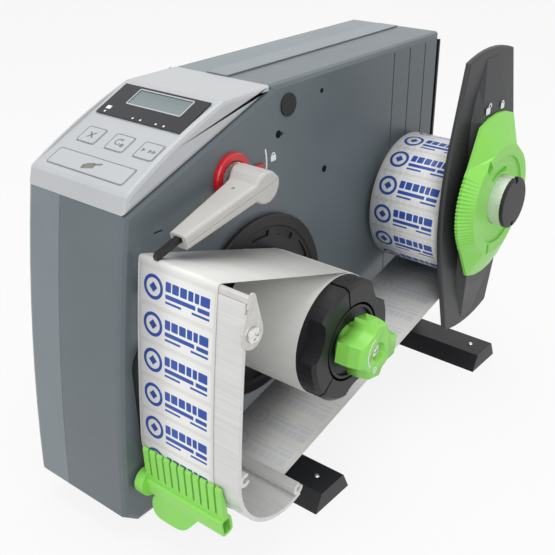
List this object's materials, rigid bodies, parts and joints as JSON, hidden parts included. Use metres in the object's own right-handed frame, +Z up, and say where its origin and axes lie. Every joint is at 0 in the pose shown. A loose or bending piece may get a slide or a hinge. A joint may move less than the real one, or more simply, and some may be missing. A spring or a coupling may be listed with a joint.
{
  "type": "label dispenser machine",
  "caption": "Desktop label dispenser with key panel, dispensing plate, pinch lever, comb brake, expanding liner rewinder and label roll shaft with a locking outer guide.",
  "frame": {"origin": "middle of the footprint, at desk level", "axes": "+X out of the wall that carries the mechanism, +Y from the front to the rear panel, +Z up"},
  "size_m": [0.2118, 0.415, 0.3142],
  "materials": {
    "housing_plastic": "fine texture",
    "panel_plastic": "satin",
    "pale_strip": "satin",
    "black_plastic": "satin",
    "window_plastic": "glossy",
    "lcd": "glossy",
    "green_plastic": "satin",
    "red_plastic": "semi gloss",
    "aluminium": "anodised silver",
    "steel": "satin",
    "label_paper": "smooth",
    "core_board": "plain",
    "board": "solder mask"
  },
  "bodies": {
    "base": {"main_housing": "housing_plastic", "left_cover": "housing_plastic", "top_strip": "pale_strip", "rear_panel": "black_plastic", "power_inlet": "black_plastic", "key_panel": "panel_plastic", "display_window": "window_plastic", "lcd_screen": "lcd", "wall_plug": "black_plastic", "front_foot": "black_plastic", "rear_foot": "black_plastic", "front_foot_screw": "steel", "rear_foot_screw": "steel", "dispensing_plate": "aluminium", "plate_mount": "black_plastic", "peel_edge": "steel", "edge_screw": "steel", "lever_pivot": "steel", "label_web": "label_paper", "comb_rod": "steel", "unwind_shaft": "aluminium", "shaft_cap": "black_plastic", "chassis_plate": "steel", "gear_motor": "steel", "circuit_board": "board"},
    "rewinder": {"rewind_flange": "black_plastic", "drum_hub": "black_plastic", "rewind_shaft": "steel", "drum_ring": "black_plastic", "liner_wrap": "label_paper", "drive_gear": "black_plastic", "knob_screw": "steel"},
    "knob": {"drum_knob": "green_plastic"},
    "drum_shell_1": {"drum_segment_1": "black_plastic"},
    "drum_shell_2": {"drum_segment_2": "black_plastic"},
    "drum_shell_3": {"drum_segment_3": "black_plastic"},
    "pinion": {"motor_pinion": "steel"},
    "roll": {"roll_core": "core_board", "label_roll": "label_paper"},
    "guide": {"outer_guide": "black_plastic"},
    "lock": {"guide_lock": "green_plastic"},
    "lever": {"lever_upper_half": "panel_plastic", "lever_lower_half": "panel_plastic", "lever_tongue": "black_plastic"},
    "pressure_ring": {"lever_ring": "red_plastic"},
    "comb": {"comb_brake": "green_plastic"},
    "clear_button": {"clear_key": "panel_plastic"},
    "mode_button": {"mode_key": "panel_plastic"},
    "advance_button": {"advance_key": "panel_plastic"},
    "dispense_button": {"dispense_key": "panel_plastic"},
    "rocker": {"power_rocker": "black_plastic"}
  },
  "joints": [
    {"name": "rewinder_turn", "type": "hinge", "parent": "base", "child": "rewinder", "pos_m": [0.04155, -0.05758, 0.1388], "axis": [1, 0, 0], "continuous": true},
    {"name": "knob_turn", "type": "hinge", "parent": "rewinder", "child": "knob", "pos_m": [0.09155, -0.05758, 0.1388], "axis": [1, 0, 0], "range_deg": [0, 60]},
    {"name": "shell_1_slide", "type": "slide", "parent": "rewinder", "child": "drum_shell_1", "axis": [0, 0.9336, -0.3584], "range_m": [0, 0.0005]},
    {"name": "shell_2_slide", "type": "slide", "parent": "rewinder", "child": "drum_shell_2", "axis": [0, -0.1564, 0.9877], "range_m": [0, 0.0005]},
    {"name": "shell_3_slide", "type": "slide", "parent": "rewinder", "child": "drum_shell_3", "axis": [0, -0.7771, -0.6293], "range_m": [0, 0.0005]},
    {"name": "pinion_turn", "type": "hinge", "parent": "base", "child": "pinion", "pos_m": [-0.02545, -0.01843, 0.1388], "axis": [1, 0, 0], "continuous": true},
    {"name": "roll_turn", "type": "hinge", "parent": "base", "child": "roll", "pos_m": [0.03215, 0.14513, 0.1712], "axis": [1, 0, 0], "continuous": true},
    {"name": "guide_slide", "type": "slide", "parent": "base", "child": "guide", "axis": [1, 0, 0], "range_m": [0, 0.008]},
    {"name": "lock_turn", "type": "hinge", "parent": "guide", "child": "lock", "pos_m": [0.08655, 0.14513, 0.1887], "axis": [1, 0, 0], "range_deg": [0, 21]},
    {"name": "lever_lift", "type": "hinge", "parent": "base", "child": "lever", "pos_m": [0.01155, -0.08428, 0.25233], "axis": [-1, 0, 0], "range_deg": [0, 35]},
    {"name": "ring_turn", "type": "hinge", "parent": "base", "child": "pressure_ring", "pos_m": [-0.00645, -0.08428, 0.25233], "axis": [1, 0, 0], "range_deg": [0, 17]},
    {"name": "comb_swing", "type": "hinge", "parent": "base", "child": "comb", "pos_m": [0.03655, -0.18868, 0.0535], "axis": [1, 0, 0], "range_deg": [0, 40]},
    {"name": "clear_press", "type": "slide", "parent": "base", "child": "clear_button", "axis": [0, 0.4083, -0.9128], "range_m": [0, 0.0005], "stiffness_N_per_m": 400, "springref_m": -0.0005},
    {"name": "mode_press", "type": "slide", "parent": "base", "child": "mode_button", "axis": [0, 0.4083, -0.9128], "range_m": [0, 0.0005], "stiffness_N_per_m": 400, "springref_m": -0.0005},
    {"name": "advance_press", "type": "slide", "parent": "base", "child": "advance_button", "axis": [0, 0.4083, -0.9128], "range_m": [0, 0.0005], "stiffness_N_per_m": 400, "springref_m": -0.0005},
    {"name": "dispense_press", "type": "slide", "parent": "base", "child": "dispense_button", "axis": [0, 0.4083, -0.9128], "range_m": [0, 0.0005], "stiffness_N_per_m": 400, "springref_m": -0.0005},
    {"name": "rocker_tilt", "type": "hinge", "parent": "base", "child": "rocker", "pos_m": [-0.0399, 0.20203, 0.1249], "axis": [1, 0, 0], "range_deg": [0, 8]}
  ],
  "couplings": [
    {"joint": "pinion_turn", "follows": "rewinder_turn", "ratio": -3.4286},
    {"joint": "roll_turn", "follows": "rewinder_turn", "ratio": 0.82983},
    {"joint": "shell_1_slide", "follows": "knob_turn", "m_per_rad": 0.000477},
    {"joint": "shell_2_slide", "follows": "knob_turn", "m_per_rad": 0.000477},
    {"joint": "shell_3_slide", "follows": "knob_turn", "m_per_rad": 0.000477}
  ]
}
